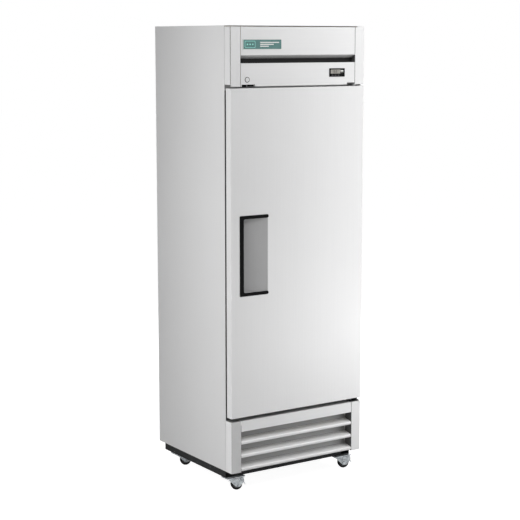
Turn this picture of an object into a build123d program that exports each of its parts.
from build123d import *
from math import hypot
import os

# Reach-in refrigerator: one insulated door between a header and a front grille, on four swivel casters.
# Millimetres. The origin is on the floor under the middle of the cabinet: +X right, +Y back, +Z up.

# Overall size
WIDTH = 686.0
DEPTH = 623.0
HEIGHT = 1988.0
PROUD = 1.5  # trim, badge and controller stand this far in front of the steel

# Sheet and wall thicknesses
SKIN = 1.2
LINER = 1.2
BEND_RADIUS = 1.0  # outside radius of a folded steel corner
SEAM = 1.6  # open gap between neighbouring front panels
CORNER_SEAM = 3.0  # open gap down a header post's side, behind its front plate
WALL = 50.0
FRONT_ZONE = 47.5  # header, door and grille stand this far in front of the cabinet body

# Heights
CASTER_HEIGHT = 61.5
RAIL_HEIGHT = 35.0
BASE_TOP = 322.0
FLOOR_TOP = 383.0
OPENING_TOP = 1687.0
CEILING = 1936.8
DOOR_BOTTOM = 338.0
DOOR_TOP = 1732.0
HEADER_BOTTOM = 1747.0
LIP_BOTTOM = 1739.0  # lower edge of the header's front lip, over the door's top edge
SLOT_BOTTOM = 1834.0
SLOT_TOP = 1867.0
SHELF_LEVELS = (700.0, 1020.0, 1340.0)

# Door
DOOR_THICKNESS = 36.0
POST_WIDTH = 48.0
HINGE_X = 329.0
HINGE_Y = -287.5
PIN_RADIUS = 6.0
RUNNING_FIT = 0.06  # radial gap between a pin and its bush
JOINT_GAP = 0.3  # gap between two faces that slide over each other

# Handle, from the door's left edge
TRIM_LEFT = 43.0
TRIM_RIGHT = 188.0
TRIM_BOTTOM = 861.0
TRIM_TOP = 1203.0
TRIM_BAR = 20.0
TRIM_RAIL = 14.5
POCKET_LEFT = 48.0
POCKET_RIGHT = 184.0
POCKET_DEPTH = 28.0

# Casters
CASTER_X = 289.0
CASTER_YS = {"front": -236.0, "rear": 198.0}
CASTER_TRAIL = 14.0
CASTER_TURN = -20.0  # each fork trails right and a little forward
WHEEL_RADIUS = 25.0
WHEEL_HALF = 11.0
AXLE_RADIUS = 4.0
KINGPIN_RADIUS = 5.0
PEDAL_PIVOT = (40.0, 42.0)  # along the trail, and up
PEDAL_PIN_RADIUS = 2.5

# Derived planes
SIDE = WIDTH / 2
FRONT = -DEPTH / 2
REAR = DEPTH / 2
FACE = FRONT + PROUD
BODY_FRONT = FACE + FRONT_ZONE
BODY_BOTTOM = CASTER_HEIGHT + RAIL_HEIGHT
ROOF = HEIGHT - SKIN
SKIN_IN = SIDE - SKIN
INNER = SIDE - WALL
FOAM_IN = INNER + LINER
BREAKER_BACK = BODY_FRONT + 4.0
BREAKER_TOP = 1723.0
DOOR_BACK = FACE + DOOR_THICKNESS
INNER_BACK = REAR - WALL
POST_IN = SIDE - POST_WIDTH
COVER_FLOOR = 1712.0
PAN_TOP = BODY_BOTTOM + 1.5
HEADER_TOP = ROOF - 3.5


def block(x, y, z):
    """A box between two limits on each axis."""
    size = [high - low for low, high in (x, y, z)]
    centre = [(low + high) / 2 for low, high in (x, y, z)]
    return Pos(*centre) * Box(*size)


def prism_x(outline, x):
    """A (Y, Z) outline between two X limits."""
    face = make_face(Polyline(*[(x[0], y, z) for y, z in outline], close=True))
    return extrude(face, amount=x[1] - x[0], dir=(1, 0, 0))


def prism_y(outline, y):
    """An (X, Z) outline between two Y limits."""
    face = make_face(Polyline(*[(x, y[0], z) for x, z in outline], close=True))
    return extrude(face, amount=y[1] - y[0], dir=(0, 1, 0))


def prism_z(outline, z):
    """An (X, Y) outline between two Z limits."""
    face = make_face(Polyline(*[(x, y, z[0]) for x, y in outline], close=True))
    return extrude(face, amount=z[1] - z[0], dir=(0, 0, 1))


def plate_y(sketch, y):
    """A sketch drawn in X and Z, between two Y limits."""
    return Pos(0, y[0], 0) * extrude(Plane.XZ * sketch, amount=y[1] - y[0], dir=(0, 1, 0))


def disc_x(radius, x, centre):
    """A cylinder along X between two limits, at a (Y, Z) centre."""
    middle = Pos((x[0] + x[1]) / 2, centre[0], centre[1])
    return middle * Rot(0, 90, 0) * Cylinder(radius, x[1] - x[0])


def disc_y(radius, y, centre):
    """A cylinder along Y between two limits, at an (X, Z) centre."""
    middle = Pos(centre[0], (y[0] + y[1]) / 2, centre[1])
    return middle * Rot(90, 0, 0) * Cylinder(radius, y[1] - y[0])


def disc_z(radius, z, centre):
    """A cylinder along Z between two limits, at an (X, Y) centre."""
    return Pos(centre[0], centre[1], (z[0] + z[1]) / 2) * Cylinder(radius, z[1] - z[0])


def mirrored(part):
    """A part and its mirror image across the middle of the cabinet."""
    return [part, mirror(part, about=Plane.YZ)]


def save(name, *pieces):
    """Write the pieces of one sub-part, each as its own solid."""
    flat = [p for piece in pieces for p in (piece if isinstance(piece, list) else [piece])]
    solids = [solid for piece in flat for solid in piece.solids()]
    export_step(Compound(solids), f"parts/{name}.step")


# ---- Base ----


def base_frame():
    """Four open channels under the cabinet: two side rails with two cross rails between them."""
    web = 2.5
    flange = 45.0
    out = SIDE - 10.0
    front = FACE + 65.5
    rear = REAR - 34.0
    low, high = CASTER_HEIGHT, BODY_BOTTOM
    tip = out - flange
    side = prism_y(
        [
            (out, low),
            (out, high),
            (tip, high),
            (tip, high - web),
            (out - web, high - web),
            (out - web, low + web),
            (tip, low + web),
            (tip, low),
        ],
        (front, rear),
    )
    rails = mirrored(side)
    for edge, inward in ((front, 1), (rear, -1)):
        inner, back = edge + inward * flange, edge + inward * web
        outline = [
            (edge, low),
            (edge, high),
            (inner, high),
            (inner, high - web),
            (back, high - web),
            (back, low + web),
            (inner, low + web),
            (inner, low),
        ]
        rails.append(prism_x(outline, (-tip, tip)))
    return rails


def base_pan():
    """The floor of the machine bay."""
    return block((-SKIN_IN, SKIN_IN), (BODY_FRONT, REAR), (BODY_BOTTOM, PAN_TOP))


def post(z, capped):
    """A folded steel corner post in front of the cabinet body, closed at its capped end."""
    outer = block((-SIDE, -POST_IN), (FACE, BODY_FRONT - SEAM), z)
    outer = fillet(outer.edges().filter_by(Axis.Z).group_by(Axis.Y)[0], BEND_RADIUS)
    inside = (z[0] - 1, z[1] - SKIN) if capped == "top" else (z[0] + SKIN, z[1] + 1)
    return outer - block((-SKIN_IN, -POST_IN - SKIN), (FACE + SKIN, BODY_FRONT + 1), inside)


def header_post():
    """A header post with a lip below it, whose front plate meets its side at an open seam."""
    bottom = HEADER_BOTTOM
    back = FACE + SKIN + CORNER_SEAM
    seam = block((-SIDE - 1, 1 - SKIN_IN), (FACE + SKIN, back), (bottom + 2 * SKIN, ROOF))
    lip = block((-SIDE + BEND_RADIUS, -POST_IN), (FACE, FACE + SKIN), (LIP_BOTTOM, bottom))
    return post((bottom, HEADER_TOP), "bottom") - seam + lip


def louvre_blade(nose_bottom, x):
    """One bent blade: a riser at the back, a shelf that slopes down to the front and a rounded nose."""
    nose_height = 15.0
    shelf_rise = 8.0
    riser_foot = BODY_FRONT - 4.5
    riser_head = BODY_FRONT + 5.5
    riser_height = 23.0
    top = nose_bottom + nose_height
    shelf_back = top + shelf_rise
    nose = nose_height / 2
    path = FilletPolyline(
        (x[0], FACE + 9.0, nose_bottom + SKIN / 2),
        (x[0], FACE + SKIN / 2, nose_bottom + SKIN / 2),
        (x[0], FACE + SKIN / 2, top - SKIN / 2),
        (x[0], riser_foot, shelf_back - SKIN / 2),
        (x[0], riser_head, shelf_back + riser_height),
        radius=nose * 0.85,
    )
    return extrude(make_face(offset(path, SKIN / 2, side=Side.BOTH)), amount=x[1] - x[0], dir=(1, 0, 0))


def louvre_grille():
    """The front grille: a plain top strip with a folded edge, and three bull-nosed blades below it."""
    strip_bottom = 275.5
    pitch = 58.6
    hem = 8.0
    x = (-POST_IN + SEAM, POST_IN - SEAM)
    strip = block(x, (FACE, FACE + SKIN), (strip_bottom, BASE_TOP))
    strip += block(x, (FACE + SKIN, BODY_FRONT), (BASE_TOP - SKIN, BASE_TOP))
    strip += block(x, (FACE + SKIN, FACE + hem), (strip_bottom, strip_bottom + SKIN))
    return [strip] + [louvre_blade(strip_bottom - pitch * (k + 1), x) for k in range(3)]


# ---- Cabinet ----


def side_panel():
    """The left outer side, a flat sheet."""
    return block((-SIDE, -SKIN_IN), (BODY_FRONT, REAR), (BODY_BOTTOM, ROOF))


def cabinet_foam():
    """Slabs of insulation between the outer sheets and the liner."""
    back_foam = INNER_BACK + LINER
    side = block((-SKIN_IN, -FOAM_IN), (BREAKER_BACK, REAR - SKIN), (BASE_TOP, ROOF))
    return mirrored(side) + [
        block((-FOAM_IN, FOAM_IN), (back_foam, REAR - SKIN), (BASE_TOP, ROOF)),
        block((-FOAM_IN, FOAM_IN), (BREAKER_BACK, back_foam), (BASE_TOP, FLOOR_TOP - LINER)),
        block((-FOAM_IN, FOAM_IN), (BREAKER_BACK, back_foam), (CEILING + LINER, ROOF)),
        block((-INNER, INNER), (BREAKER_BACK, lintel_back()), (OPENING_TOP + LINER, CEILING + LINER)),
    ]


def lintel_back():
    """The back of the insulated wall behind the header, where its liner begins."""
    return BREAKER_BACK + 43.8


def inner_liner():
    """The metal lining of the cold compartment, one sheet for each wall."""
    front = BREAKER_BACK
    lintel = lintel_back()
    left = block((-FOAM_IN, -INNER), (front, INNER_BACK), (FLOOR_TOP, CEILING))
    return mirrored(left) + [
        block((-FOAM_IN, FOAM_IN), (INNER_BACK, INNER_BACK + LINER), (FLOOR_TOP - LINER, CEILING + LINER)),
        block((-FOAM_IN, FOAM_IN), (front, INNER_BACK), (FLOOR_TOP - LINER, FLOOR_TOP)),
        block((-FOAM_IN, FOAM_IN), (lintel, INNER_BACK), (CEILING, CEILING + LINER)),
        block((-INNER, INNER), (lintel, lintel + LINER), (OPENING_TOP, CEILING)),
        block((-INNER, INNER), (front, lintel), (OPENING_TOP, OPENING_TOP + LINER)),
    ]


def breaker_frame():
    """Four plastic strips that close the front of the walls, where the gasket seals."""
    y = (BODY_FRONT, BREAKER_BACK)
    left = block((-SKIN_IN, -INNER), y, (BASE_TOP, BREAKER_TOP))
    return mirrored(left) + [
        block((-INNER, INNER), y, (BASE_TOP, FLOOR_TOP)),
        block((-INNER, INNER), y, (OPENING_TOP, BREAKER_TOP)),
    ]


# ---- Header ----

BADGE_X = (-284.0, -90.0)
BADGE_Z = (1889.0, 1933.0)
CONTROLLER = (198.0, 1791.0)
CONTROLLER_SIZE = (82.0, 36.0)
LATCH_NOTCH = (-289.0, -223.0)
HINGE_NOTCH = (252.0, POST_IN)
CONTROLLER_BODY = (78.0, 32.0)
KEY_SIZE = (9.4, 5.4)
KEY_OFFSETS = (-24.0, -8.0, 8.0)
KEY_DROP = 12.0
KEY_DEPTH = 6.0
LOCK = (-262.0, 1767.0)
LOCK_FLANGE_RADIUS = 11.5
LOCK_BARREL_RADIUS = 10.9
LOCK_RADIUS = 7.0


def header_upper_panel():
    """The plain face above the slot, with a folded lower edge."""
    hem = 6.0
    x = (-POST_IN + SEAM, POST_IN - SEAM)
    face = block(x, (FACE, FACE + SKIN), (SLOT_TOP, HEADER_TOP))
    return face + block(x, (FACE + SKIN, FACE + 2 * SKIN), (SLOT_TOP + 2, SLOT_TOP + hem))


def header_lower_panel():
    """The face below the slot, holed for the controller and the lock, and the sill over the door seal."""
    ledge = 38.0
    x = (-POST_IN + SEAM, POST_IN - SEAM)
    panel = block(x, (FACE, FACE + SKIN), (LIP_BOTTOM, SLOT_BOTTOM))
    for notch in (LATCH_NOTCH, HINGE_NOTCH):
        panel -= block(notch, (FACE - 1, FACE + 2), (LIP_BOTTOM - 1, HEADER_BOTTOM))
    panel += block(x, (FACE + SKIN, BODY_FRONT), (HEADER_BOTTOM, HEADER_BOTTOM + SKIN))
    panel += block(x, (FACE + SKIN, FACE + ledge), (SLOT_BOTTOM - SKIN, SLOT_BOTTOM))
    half = (CONTROLLER_BODY[0] / 2, CONTROLLER_BODY[1] / 2)
    panel -= block(
        (CONTROLLER[0] - half[0], CONTROLLER[0] + half[0]),
        (FACE - 1, FACE + 2),
        (CONTROLLER[1] - half[1], CONTROLLER[1] + half[1]),
    )
    panel -= disc_y(LOCK_BARREL_RADIUS + 0.1, (FACE - 1, FACE + 2), LOCK)
    return [panel, block((-SKIN_IN, SKIN_IN), (BODY_FRONT, BREAKER_BACK), (BREAKER_TOP, HEADER_BOTTOM))]


def header_slot_channel():
    """The sheets at the back of the slot: a sloping soffit, then a wall down to the ledge."""
    x = (-POST_IN, POST_IN)
    knee = (FACE + 23.0, SLOT_TOP - 14.0)
    foot = (FACE + 26.0, SLOT_BOTTOM)
    soffit = [
        (FACE + SKIN, SLOT_TOP),
        knee,
        (knee[0] + SKIN, knee[1] + SKIN),
        (FACE + SKIN, SLOT_TOP + 1.5),
    ]
    wall = [knee, foot, (foot[0] + SKIN, foot[1]), (knee[0] + SKIN, knee[1] + SKIN)]
    return [prism_x(soffit, x), prism_x(wall, x)]


def badge_plate():
    """A small raised plate with rounded corners."""
    middle = (sum(BADGE_X) / 2, sum(BADGE_Z) / 2)
    size = (BADGE_X[1] - BADGE_X[0], BADGE_Z[1] - BADGE_Z[0])
    return plate_y(Pos(*middle) * RectangleRounded(*size, 3.0), (FRONT, FACE))


def key_centre(offset):
    """The (X, Z) centre of one controller key."""
    return (CONTROLLER[0] + offset, CONTROLLER[1] - KEY_DROP)


def controller_housing():
    """The electronic controller: a bezel over the panel, a shallow window and three key holes."""
    window = (68.0, 18.0)
    window_depth = 0.8
    body_depth = 40.0
    key_gap = 0.6
    housing = plate_y(Pos(*CONTROLLER) * RectangleRounded(*CONTROLLER_SIZE, 2.0), (FRONT, FACE))
    housing += plate_y(Pos(*CONTROLLER) * Rectangle(*CONTROLLER_BODY), (FACE, FACE + body_depth))
    recess = Pos(CONTROLLER[0], CONTROLLER[1] + 4.0) * Rectangle(*window)
    housing -= plate_y(recess, (FRONT - 1, FRONT + window_depth))
    for offset in KEY_OFFSETS:
        hole = Pos(*key_centre(offset)) * Rectangle(KEY_SIZE[0] + key_gap, KEY_SIZE[1] + key_gap)
        housing -= plate_y(hole, (FRONT - 1, FRONT + KEY_DEPTH + 2.0))
    return housing


def controller_key(offset):
    """One key, flush with the bezel."""
    return plate_y(Pos(*key_centre(offset)) * RectangleRounded(*KEY_SIZE, 0.8), (FRONT, FRONT + KEY_DEPTH))


def lock_collar():
    """The fixed barrel of the door lock."""
    barrel_depth = 20.0
    collar = disc_y(LOCK_FLANGE_RADIUS, (FRONT, FACE), LOCK)
    collar += disc_y(LOCK_BARREL_RADIUS, (FACE, FACE + barrel_depth), LOCK)
    return collar - disc_y(LOCK_RADIUS + RUNNING_FIT, (FRONT - 1, FACE + barrel_depth + 1), LOCK)


def lock_cylinder():
    """The turning core of the lock, with its key slot and the cam behind it."""
    slot = (2.0, 8.0)
    cam_start = FACE + 20.5
    cam = (14.0, 8.0)
    core = disc_y(LOCK_RADIUS, (FRONT + 0.3, cam_start), LOCK)
    core -= plate_y(Pos(*LOCK) * Rectangle(*slot), (FRONT - 1, FRONT + 5.0))
    cam_z = (LOCK[1] - cam[1] / 2, LOCK[1] + cam[1] / 2)
    return core + block((LOCK[0] - 4, LOCK[0] + cam[0]), (cam_start, cam_start + 2.5), cam_z)


def latch_bracket():
    """The keeper under the header: a plate with a hooked tab and a tongue."""
    top = HEADER_BOTTOM
    plate = block((-294.0, -219.0), (FACE + 3, FACE + 30), (top - 2.0, top))
    hook = block((-282.0, -264.0), (FACE + 6, FACE + 22), (top - 9.5, top - 2.0))
    hook -= block((-277.0, -269.0), (FACE + 5, FACE + 14), (top - 8.0, top - 4.0))
    tongue = block((-248.0, -228.0), (FACE + 4, FACE + 20), (top - 7.0, top - 2.0))
    return plate + hook + tongue


# ---- Hinges ----

BRACKET_PLATE = 4.0
COLLAR_RADIUS = 11.0
PIN_LENGTH = 23.0
BUSH_RADIUS = 9.0
BUSH_LENGTH = 24.0
BUSH_FLANGE = 2.7
BUSH_HOLE_RADIUS = BUSH_RADIUS + 0.3


def hinge_bracket(root, door_edge, x_start):
    """A plate on the cabinet with a collar and a pin that points into the door."""
    up = 1 if door_edge > root else -1
    plate_end = root + up * BRACKET_PLATE
    collar_end = door_edge - up * (BUSH_FLANGE + JOINT_GAP)
    pin_end = collar_end + up * PIN_LENGTH
    centre = (HINGE_X, HINGE_Y)
    bracket = block((x_start, SIDE - 2.0), (FACE + 8.0, BODY_FRONT - 2.0), sorted((root, plate_end)))
    bracket += disc_z(COLLAR_RADIUS, sorted((plate_end, collar_end)), centre)
    return bracket + disc_z(PIN_RADIUS, sorted((collar_end, pin_end)), centre)


def hinge_bush(door_edge, up):
    """A flanged plastic bush in the end of the door."""
    centre = (HINGE_X, HINGE_Y)
    flange_end = door_edge - up * BUSH_FLANGE
    body_end = door_edge + up * BUSH_LENGTH
    bush = disc_z(BUSH_RADIUS + 3.0, sorted((door_edge, flange_end)), centre)
    bush += disc_z(BUSH_RADIUS, sorted((door_edge, body_end)), centre)
    return bush - disc_z(PIN_RADIUS + RUNNING_FIT, sorted((flange_end - up, body_end + up)), centre)


def bush_holes():
    """The space that the two bushes take in the door."""
    centre = (HINGE_X, HINGE_Y)
    low = disc_z(BUSH_HOLE_RADIUS, (DOOR_BOTTOM - 1, DOOR_BOTTOM + BUSH_LENGTH + 1), centre)
    return low + disc_z(BUSH_HOLE_RADIUS, (DOOR_TOP - BUSH_LENGTH - 1, DOOR_TOP + 1), centre)


# ---- Door ----

PAN_X = 268.0
PAN_Z = (405.0, 1665.0)
PAN_RISE = 18.0
INNER_SHEET = 2.0


def door_x(from_left):
    """X of a point measured from the door's left edge."""
    return from_left - SIDE


def trim_outline():
    """The three-sided handle trim, open to the right, with rounded ends and inner corners."""
    end_radius = TRIM_RAIL / 2
    straight = TRIM_RIGHT - end_radius
    middle = (TRIM_TOP + TRIM_BOTTOM) / 2
    height = TRIM_TOP - TRIM_BOTTOM
    outer = Pos(door_x((TRIM_LEFT + straight) / 2), middle) * Rectangle(straight - TRIM_LEFT, height)
    outer = fillet(outer.vertices().group_by(Axis.X)[0], 4.0)
    inner_width = 200.0
    hole = RectangleRounded(inner_width, height - 2 * TRIM_RAIL, 8.0)
    outline = outer - Pos(door_x(TRIM_LEFT + TRIM_BAR + inner_width / 2), middle) * hole
    for z in (TRIM_TOP - end_radius, TRIM_BOTTOM + end_radius):
        outline += Pos(door_x(straight), z) * Circle(end_radius)
    return outline


def pocket_z():
    """The height of the handle pocket between the trim's rails."""
    return (TRIM_BOTTOM + TRIM_RAIL, TRIM_TOP - TRIM_RAIL)


def door_skin():
    """The outer steel pan of the door, open at the back and cut out for the handle."""
    outer = block((-SIDE, SIDE), (FACE, DOOR_BACK), (DOOR_BOTTOM, DOOR_TOP))
    outer = fillet(outer.faces().sort_by(Axis.Y)[0].edges(), BEND_RADIUS)
    inside_z = (DOOR_BOTTOM + SKIN, DOOR_TOP - SKIN)
    skin = outer - block((-SKIN_IN, SKIN_IN), (FACE + SKIN, DOOR_BACK + 1), inside_z)
    skin -= block((door_x(POCKET_LEFT), door_x(POCKET_RIGHT)), (FACE - 1, FACE + 2), pocket_z())
    skin -= plate_y(trim_outline(), (FACE - 1, FACE + 2))
    return skin - bush_holes()


def handle_trim():
    """The black plastic edge of the handle."""
    trim = plate_y(trim_outline(), (FRONT, FACE + SKIN))
    rim = trim.faces().sort_by(Axis.Y)[0].edges()
    return fillet(rim, 0.9)


def pocket_wall_depth():
    """How far the pocket's sloping sheet reaches behind its own face, measured along Y."""
    run = POCKET_RIGHT - POCKET_LEFT
    return SKIN * hypot(run, POCKET_DEPTH) / run


def handle_pocket():
    """The wedge-shaped tray behind the trim: one sloping sheet and three walls."""
    low, high = pocket_z()
    left, right = door_x(POCKET_LEFT), door_x(POCKET_RIGHT)
    deep = FACE + POCKET_DEPTH
    back = pocket_wall_depth()
    lip = FACE + SKIN
    slope = prism_z([(right, FACE), (right, FACE + back), (left, deep + back), (left, deep)], (low, high))
    side = block((left - SKIN, left), (lip, deep + back), (low - SKIN, high + SKIN))
    end = [(left, lip), (right, lip), (right, FACE + back), (left, deep + back)]
    return [slope, side, prism_z(end, (low - SKIN, low)), prism_z(end, (high, high + SKIN))]


def door_foam():
    """Blocks of insulation that fill the door round the handle pocket."""
    y = (FACE + SKIN, DOOR_BACK - INNER_SHEET)
    low, high = pocket_z()
    bottom, top = DOOR_BOTTOM + SKIN, DOOR_TOP - SKIN
    left, right = door_x(POCKET_LEFT) - SKIN, door_x(POCKET_RIGHT)
    deep = FACE + POCKET_DEPTH + pocket_wall_depth()
    tip = FACE + pocket_wall_depth()
    wedge = [(left, y[1]), (right, y[1]), (right, tip), (left + SKIN, deep), (left, deep)]
    return [
        block((-SKIN_IN, left), y, (bottom, top)),
        block((left, SKIN_IN), y, (bottom, low - SKIN)) - bush_holes(),
        block((left, SKIN_IN), y, (high + SKIN, top)) - bush_holes(),
        block((right, SKIN_IN), y, (low - SKIN, high + SKIN)),
        prism_z(wedge, (low - SKIN, high + SKIN)),
        block((10 - PAN_X, PAN_X - 10), (y[1], DOOR_BACK + PAN_RISE - 2), (PAN_Z[0] + 10, PAN_Z[1] - 10)),
    ]


def door_inner_panel():
    """The inner face of the door, pressed out in the middle."""
    bottom, top = DOOR_BOTTOM + SKIN, DOOR_TOP - SKIN
    sheet_front = DOOR_BACK - INNER_SHEET
    crown = block((-PAN_X, PAN_X), (DOOR_BACK, DOOR_BACK + PAN_RISE), PAN_Z)
    crown = chamfer(crown.faces().sort_by(Axis.Y)[-1].edges(), 7.0)
    panel = block((-SKIN_IN, SKIN_IN), (sheet_front, DOOR_BACK), (bottom, top)) + crown
    hollow_z = (PAN_Z[0] + 8, PAN_Z[1] - 8)
    return panel - block((8 - PAN_X, PAN_X - 8), (sheet_front, DOOR_BACK + PAN_RISE - 2), hollow_z)


def door_gasket():
    """Four magnetic sealing strips between the door and the breaker frame."""
    outer, inner = 328.0, 312.0
    low, high = 349.0, 1721.0
    strip = outer - inner
    y = (DOOR_BACK, BODY_FRONT - JOINT_GAP)
    return mirrored(block((-outer, -inner), y, (low, high))) + [
        block((-inner, inner), y, (low, low + strip)),
        block((-inner, inner), y, (high - strip, high)),
    ]


# ---- Shelves ----

STANDARD_YS = ((-190.0, -168.0), (170.0, 192.0))
STANDARD_THICKNESS = 3.5
ROD_RADIUS = 3.0
CROSS_RADIUS = 2.6
WIRE_RADIUS = 1.75


def shelf_standards():
    """Four slotted strips on the side walls, which carry the shelf clips."""
    z = (420.0, 1640.0)
    slot_pitch = 50.0
    slot = (8.0, 16.0)
    strips = []
    for y in STANDARD_YS:
        strip = block((-INNER, STANDARD_THICKNESS - INNER), y, z)
        middle = (y[0] + y[1]) / 2
        count = int((z[1] - z[0]) / slot_pitch)
        slots = [
            block(
                (-INNER - 1, STANDARD_THICKNESS - INNER + 1),
                (middle - slot[0] / 2, middle + slot[0] / 2),
                (z[0] + slot_pitch * k + 10.0, z[0] + slot_pitch * k + 10.0 + slot[1]),
            )
            for k in range(count)
        ]
        strips += mirrored(strip - slots)
    return strips


def shelf_clips():
    """A bent clip on each standard under each shelf."""
    plate = 2.0
    face = INNER - STANDARD_THICKNESS
    clips = []
    for level in SHELF_LEVELS:
        rest = level - ROD_RADIUS
        for y in STANDARD_YS:
            clip = block((-face, plate - face), (y[0] + 3, y[1] - 3), (rest - 14.0, rest + 8.0))
            clip += block((-face, 15.5 - face), (y[0] + 3, y[1] - 3), (rest - plate, rest))
            clips += mirrored(clip)
    return clips


def wire_shelf(level):
    """A wire shelf: a welded frame of rods with thinner wires lying across it."""
    half_width = 280.0
    front, back = -212.0, 236.0
    wire_count = 23
    wire_gap = 0.05
    cross_ys = (front, front + 150.0, back - 150.0, back)
    frame = disc_y(ROD_RADIUS, (front - ROD_RADIUS, back + ROD_RADIUS), (-half_width, level))
    frame += disc_y(ROD_RADIUS, (front - ROD_RADIUS, back + ROD_RADIUS), (half_width, level))
    for y in cross_ys:
        frame += disc_x(CROSS_RADIUS, (-half_width, half_width), (y, level))
    pitch = 2 * half_width / (wire_count + 1)
    height = level + CROSS_RADIUS + WIRE_RADIUS + wire_gap
    wires = [
        disc_y(WIRE_RADIUS, (front - 5.0, back + 5.0), (-half_width + pitch * (k + 1), height))
        for k in range(wire_count)
    ]
    return [frame] + wires


# ---- Cooling ----

EVAPORATOR_FAN = (0.0, -90.0)
EVAPORATOR_FAN_Z = 1745.0
CONDENSER_FAN = (60.0, 205.0)
CONDENSER_FAN_Y = -168.0
SHAFT_RADIUS = 3.0


def finned_coil(x, y, z, fins):
    """A coil: two end plates, a row of thin fins between them and return bends on the right."""
    plate = 2.0
    fin = 0.8
    tube = 4.0
    bend = 14.0
    parts = [block((x[0], x[0] + plate), y, z), block((x[1] - plate, x[1]), y, z)]
    pitch = (x[1] - x[0]) / (fins + 1)
    for k in range(fins):
        middle = x[0] + pitch * (k + 1)
        parts.append(block((middle - fin / 2, middle + fin / 2), (y[0] + 2, y[1] - 2), (z[0] + 2, z[1] - 2)))
    rows = int((z[1] - z[0]) / (4 * bend))
    for k in range(rows):
        centre = (x[1], (y[0] + y[1]) / 2, z[0] + 2 * bend + 4 * bend * k)
        loop = Pos(*centre) * Rot(90, 0, 0) * Torus(bend, tube)
        parts.append(loop & block((x[1], x[1] + 2 * bend), y, z))
    return parts


def fan_blade(radius):
    """A hub on a shaft hole along Z with five pitched blades."""
    hub_radius = 17.0
    hub_half = 10.0
    chord = 52.0
    blades = 5
    fan = Cylinder(hub_radius, 2 * hub_half)
    for k in range(blades):
        start = hub_radius - 3.0
        blade = Box(radius - start, chord, 1.6)
        blade = Rot(0, 0, 360 / blades * k) * Pos((radius + start) / 2, 0, 0) * Rot(24, 0, 0) * blade
        fan += blade
    return fan - Cylinder(SHAFT_RADIUS + RUNNING_FIT, 4 * hub_half)


def evaporator_cover():
    """The sheet housing under the ceiling, open at the top and back, with a round fan inlet."""
    x, y = (-270.0, 270.0), (-205.0, 200.0)
    hole_radius = 96.0
    cover = block(x, y, (COVER_FLOOR, CEILING))
    cover -= block((x[0] + SKIN, x[1] - SKIN), (y[0] + SKIN, y[1] + 1), (COVER_FLOOR + SKIN, CEILING + 1))
    return cover - disc_z(hole_radius, (COVER_FLOOR - 1, COVER_FLOOR + 5), EVAPORATOR_FAN)


def evaporator_fan_motor():
    """The fan motor over the inlet, hung from a bridge with two legs."""
    fan_x, fan_y = EVAPORATOR_FAN
    leg_x = 112.0
    bridge_z = EVAPORATOR_FAN_Z + 60.0
    motor = disc_z(30.0, (EVAPORATOR_FAN_Z + 20, bridge_z), EVAPORATOR_FAN)
    motor += disc_z(SHAFT_RADIUS, (EVAPORATOR_FAN_Z - 12, EVAPORATOR_FAN_Z + 20), EVAPORATOR_FAN)
    bridge_y = (fan_y - 9.0, fan_y + 9.0)
    motor += block((fan_x - leg_x, fan_x + leg_x), bridge_y, (bridge_z, bridge_z + 2.5))
    leg_z = (COVER_FLOOR + SKIN, bridge_z + 2.5)
    for side in (-1, 1):
        edges = sorted((fan_x + side * leg_x, fan_x + side * (leg_x - 2.5)))
        motor += block(edges, bridge_y, leg_z)
    return motor


def interior_light():
    """A rounded lamp under the evaporator cover."""
    lamp = block((-252.0, -142.0), (-196.0, -158.0), (COVER_FLOOR - 18.0, COVER_FLOOR))
    return fillet(lamp.faces().sort_by(Axis.Z)[0].edges(), 5.0)


def compressor():
    """A hermetic compressor: a domed shell on a foot plate with a terminal box."""
    centre = (-150.0, 120.0)
    radius = 74.0
    foot = 12.0
    seam = PAN_TOP + foot + 88.0
    shell = disc_z(radius, (PAN_TOP + foot, seam + 34.0), centre)
    rims = shell.edges().filter_by(GeomType.CIRCLE)
    shell = fillet(rims, 30.0)
    shell += disc_z(radius + 4.0, (seam - 22.0, seam - 18.0), centre)
    plate_z = (PAN_TOP + foot - 4.0, PAN_TOP + foot + 2.0)
    shell += block((centre[0] - 92, centre[0] + 92), (centre[1] - 60, centre[1] + 60), plate_z)
    for side_x in (-1, 1):
        for side_y in (-1, 1):
            mount = (centre[0] + side_x * 80.0, centre[1] + side_y * 48.0)
            shell += disc_z(9.0, (PAN_TOP, plate_z[1] + 4.0), mount)
    box_x = (centre[0] + radius - 8.0, centre[0] + radius + 34.0)
    return shell + block(box_x, (centre[1] - 28, centre[1] + 28), (seam - 60.0, seam - 8.0))


def condenser_fan_motor():
    """The condenser fan's shroud plate, its motor and the motor's stand."""
    fan_x, fan_z = CONDENSER_FAN
    shroud_y = (-187.0, -185.5)
    motor_y = (CONDENSER_FAN_Y + 26.0, CONDENSER_FAN_Y + 86.0)
    shroud = block((fan_x - 108, fan_x + 108), shroud_y, (PAN_TOP, BASE_TOP - 8.0))
    shroud -= disc_y(90.0, (shroud_y[0] - 1, shroud_y[1] + 1), CONDENSER_FAN)
    motor = disc_y(34.0, motor_y, CONDENSER_FAN)
    motor += disc_y(SHAFT_RADIUS, (CONDENSER_FAN_Y - 12, motor_y[0]), CONDENSER_FAN)
    stand_y = (motor_y[0] + 20.0, motor_y[0] + 44.0)
    motor += block((fan_x - 14, fan_x + 14), stand_y, (PAN_TOP, fan_z - 30.0))
    return [shroud, motor + block((fan_x - 34, fan_x + 34), stand_y, (PAN_TOP, PAN_TOP + 3.0))]


def pipe(points, bend_radius, radius=4.0):
    """A bent copper tube."""
    path = FilletPolyline(*points, radius=bend_radius)
    section = Plane(origin=points[0], z_dir=path % 0) * Circle(radius)
    return sweep(section, path=path)


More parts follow.
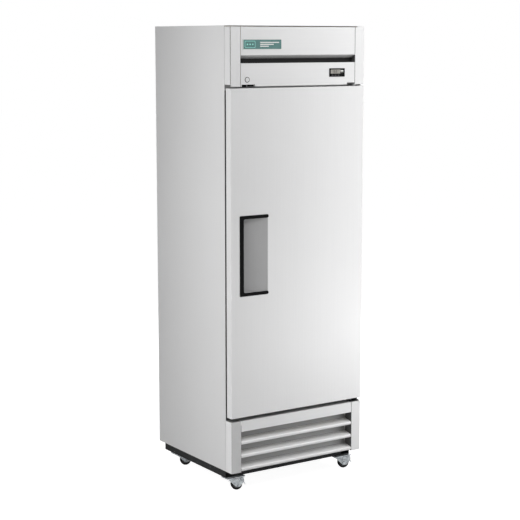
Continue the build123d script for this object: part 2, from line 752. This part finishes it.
def refrigerant_lines():
    """Copper tubes between the compressor, the condenser and the insulated wall above."""
    suction = pipe([(-175, 200, 180), (-175, 240, 180), (-175, 240, 321.5)], 18.0)
    discharge = pipe([(-215, 46, 180), (-215, -40, 180), (-215, -40, 290), (-215, -180, 290)], 18.0)
    liquid = pipe([(-190, -205, 125), (-240, -205, 125), (-240, 150, 125), (-240, 150, 321.5)], 18.0)
    return [suction, discharge, liquid]


def cord_gland():
    """A bracket on the base pan at the rear, with the gland that a supply cord would pass through."""
    x, z = 240.0, PAN_TOP + 40.0
    plate_y_range = (REAR - 14.0, REAR - 12.0)
    bracket = block((x - 30, x + 30), plate_y_range, (PAN_TOP, PAN_TOP + 66.0))
    bracket += block((x - 30, x + 30), (REAR - 40.0, REAR - 14.0), (PAN_TOP, PAN_TOP + 2.0))
    bracket += plate_y(Pos(x, z) * RegularPolygon(13.0, 6), (REAR - 12.0, REAR - 6.0))
    bracket += disc_y(9.0, (REAR - 6.0, REAR - 0.5), (x, z))
    return bracket - disc_y(4.5, (REAR - 20.0, REAR + 1.0), (x, z))


# ---- Casters ----

PLATE_TOP = CASTER_HEIGHT
PLATE_THICKNESS = 4.0
RACE_BOTTOM = PLATE_TOP - PLATE_THICKNESS - 4.0
CROWN_TOP = RACE_BOTTOM - JOINT_GAP
CROWN_THICKNESS = 2.5
CHEEK_IN = 12.5
CHEEK_OUT = 15.0
BOLT_OFFSETS = (35.0, 19.0)


def caster_spots():
    """Name and (X, Y) kingpin position of each caster."""
    return {
        f"{row}_{side}": (sign * CASTER_X, y)
        for row, y in CASTER_YS.items()
        for side, sign in (("left", -1), ("right", 1))
    }


def caster_plates():
    """The fixed top plate of each caster, with its ball race and kingpin."""
    head_z = (CROWN_TOP - CROWN_THICKNESS - JOINT_GAP - 1.0, CROWN_TOP - CROWN_THICKNESS - JOINT_GAP)
    plates = []
    for x, y in caster_spots().values():
        outline = Pos(x, y) * RectangleRounded(92.0, 56.0, 6.0)
        plate = Pos(0, 0, PLATE_TOP - PLATE_THICKNESS) * extrude(outline, amount=PLATE_THICKNESS)
        plate += disc_z(19.0, (RACE_BOTTOM, PLATE_TOP - PLATE_THICKNESS), (x, y))
        plate += disc_z(KINGPIN_RADIUS, (head_z[0], RACE_BOTTOM), (x, y))
        plates.append(plate + disc_z(KINGPIN_RADIUS + 1.5, head_z, (x, y)))
    return plates


def caster_fork(braked):
    """The pressed fork with its axle, about the kingpin, trailing along +X."""
    crown_bottom = CROWN_TOP - CROWN_THICKNESS
    cheek_outline = [
        (-24.0, CROWN_TOP),
        (44.0, CROWN_TOP),
        (46.0, 42.0),
        (37.0, 25.0),
        (26.0, 15.0),
        (10.0, 15.0),
        (-24.0, 48.0),
    ]
    fork = disc_z(24.0, (crown_bottom, CROWN_TOP), (0, 0))
    fork += block((-24.0, 44.0), (-CHEEK_OUT, CHEEK_OUT), (crown_bottom, CROWN_TOP))
    for side in (-1, 1):
        fork += prism_y(cheek_outline, sorted((side * CHEEK_IN, side * CHEEK_OUT)))
    axle = (CASTER_TRAIL, WHEEL_RADIUS)
    fork += disc_y(AXLE_RADIUS, (-CHEEK_OUT, CHEEK_OUT), axle)
    for side in (-1, 1):
        head = sorted((side * CHEEK_OUT, side * (CHEEK_OUT + 4.0)))
        fork += plate_y(Pos(*axle) * RegularPolygon(7.5, 6), head)
    if braked:
        fork += disc_y(PEDAL_PIN_RADIUS, (-CHEEK_OUT, CHEEK_OUT), PEDAL_PIVOT)
    return fork - disc_z(KINGPIN_RADIUS + 0.05, (crown_bottom - 1, CROWN_TOP + 1), (0, 0))


def caster_wheel():
    """The tyre and hub, about the kingpin."""
    axle = (CASTER_TRAIL, WHEEL_RADIUS)
    wheel = disc_y(WHEEL_RADIUS, (-WHEEL_HALF, WHEEL_HALF), axle)
    wheel = chamfer(wheel.edges().filter_by(GeomType.CIRCLE), 2.0)
    return wheel - disc_y(AXLE_RADIUS + 0.05, (-WHEEL_HALF - 1, WHEEL_HALF + 1), axle)


def brake_pedal():
    """The foot pedal on its cross pin, sloping down and away from the wheel."""
    tip = (51.5, 23.0)
    barrel_radius = 5.0
    half_width = 9.0
    run = (tip[0] - PEDAL_PIVOT[0], tip[1] - PEDAL_PIVOT[1])
    length = hypot(*run)
    normal = (-run[1] / length, run[0] / length)
    root_half, tip_half = 2.6, 1.4
    outline = [
        (PEDAL_PIVOT[0] + normal[0] * root_half, PEDAL_PIVOT[1] + normal[1] * root_half),
        (tip[0] + normal[0] * tip_half, tip[1] + normal[1] * tip_half),
        (tip[0] - normal[0] * tip_half, tip[1] - normal[1] * tip_half),
        (PEDAL_PIVOT[0] - normal[0] * root_half, PEDAL_PIVOT[1] - normal[1] * root_half),
    ]
    pedal = prism_y(outline, (-half_width, half_width))
    pedal += disc_y(barrel_radius, (-11.5, 11.5), PEDAL_PIVOT)
    return pedal - disc_y(PEDAL_PIN_RADIUS + 0.05, (-13.0, 13.0), PEDAL_PIVOT)


def screws():
    """Hexagon bolts of the caster plates and pan-head screws of the hinge and latch brackets."""
    bolts = []
    bolt_z = (RACE_BOTTOM + 0.2, PLATE_TOP - PLATE_THICKNESS)
    for x, y in caster_spots().values():
        for side_x in (-1, 1):
            for side_y in (-1, 1):
                place = Pos(x + side_x * BOLT_OFFSETS[0], y + side_y * BOLT_OFFSETS[1], bolt_z[0])
                bolts.append(place * extrude(RegularPolygon(6.0, 6), amount=bolt_z[1] - bolt_z[0]))
    head = 1.8
    middle_y = (FACE + BODY_FRONT) / 2
    top_z = (HEADER_BOTTOM - BRACKET_PLATE - head, HEADER_BOTTOM - BRACKET_PLATE)
    bolts += [disc_z(4.0, top_z, (x, middle_y)) for x in (256.0, 290.0)]
    low_z = (BASE_TOP + BRACKET_PLATE, BASE_TOP + BRACKET_PLATE + head)
    bolts.append(disc_z(4.0, low_z, (308.0, middle_y)))
    latch_z = (HEADER_BOTTOM - 2.0 - head, HEADER_BOTTOM - 2.0)
    return bolts + [disc_z(3.5, latch_z, (x, FACE + 26.0)) for x in (-289.0, -256.0, -224.0)]


# ---- Everything, one file for each sub-part ----

os.makedirs("parts", exist_ok=True)

save("base_frame", base_frame())
save("base_pan", base_pan())
save("left_side_panel", side_panel())
save("right_side_panel", mirror(side_panel(), about=Plane.YZ))
save("back_panel", block((-SKIN_IN, SKIN_IN), (REAR - SKIN, REAR), (BASE_TOP, ROOF)))
save("top_panel", block((-SIDE, SIDE), (FACE, REAR), (ROOF, HEIGHT)))
save("cabinet_foam", cabinet_foam())
save("inner_liner", inner_liner())
save("breaker_frame", breaker_frame())
save("header_posts", mirrored(header_post()))
save("header_upper_panel", header_upper_panel())
save("header_lower_panel", header_lower_panel())
save("header_slot_channel", header_slot_channel())
save("badge_plate", badge_plate())
save("controller_housing", controller_housing())
save("lock_collar", lock_collar())
save("lock_cylinder", lock_cylinder())
save("latch_bracket", latch_bracket())
save("top_hinge_bracket", hinge_bracket(HEADER_BOTTOM, DOOR_TOP, 244.0))
save("bottom_hinge_bracket", hinge_bracket(BASE_TOP, DOOR_BOTTOM, 299.0))
save("grille_posts", mirrored(post((BODY_BOTTOM, BASE_TOP), "top")))
save("louvre_grille", louvre_grille())
save("mounting_screws", screws())
for number, offset in enumerate(KEY_OFFSETS, start=1):
    save(f"controller_key_{number}", controller_key(offset))

save("door_skin", door_skin())
save("door_foam", door_foam())
save("door_inner_panel", door_inner_panel())
save("door_gasket", door_gasket())
save("handle_pocket", handle_pocket())
save("handle_trim", handle_trim())
save("door_hinge_bushes", hinge_bush(DOOR_BOTTOM, 1), hinge_bush(DOOR_TOP, -1))

save("shelf_standards", shelf_standards())
save("shelf_clips", shelf_clips())
for number, level in enumerate(SHELF_LEVELS, start=1):
    save(f"wire_shelf_{number}", wire_shelf(level))

save("evaporator_cover", evaporator_cover())
save("evaporator_coil", finned_coil((-236.0, 200.0), (30.0, 150.0), (1740.0, 1900.0), 26))
save("evaporator_fan_motor", evaporator_fan_motor())
save("evaporator_fan_blade", Pos(*EVAPORATOR_FAN, EVAPORATOR_FAN_Z) * fan_blade(88.0))
save("interior_light", interior_light())
save("compressor", compressor())
save("condenser_coil", finned_coil((-190.0, 250.0), (-240.0, -192.0), (104.0, 304.0), 26))
save("condenser_fan_motor", condenser_fan_motor())
condenser_fan_place = Pos(CONDENSER_FAN[0], CONDENSER_FAN_Y, CONDENSER_FAN[1]) * Rot(90, 0, 0)
save("condenser_fan_blade", condenser_fan_place * fan_blade(82.0))
save("refrigerant_lines", refrigerant_lines())
save("cord_gland", cord_gland())

save("caster_plates", caster_plates())
for name, (x, y) in caster_spots().items():
    place = Pos(x, y, 0) * Rot(0, 0, CASTER_TURN)
    front = name.startswith("front")
    save(f"caster_fork_{name}", place * caster_fork(front))
    save(f"caster_wheel_{name}", place * caster_wheel())
    if front:
        save(f"brake_pedal_{name}", place * brake_pedal())
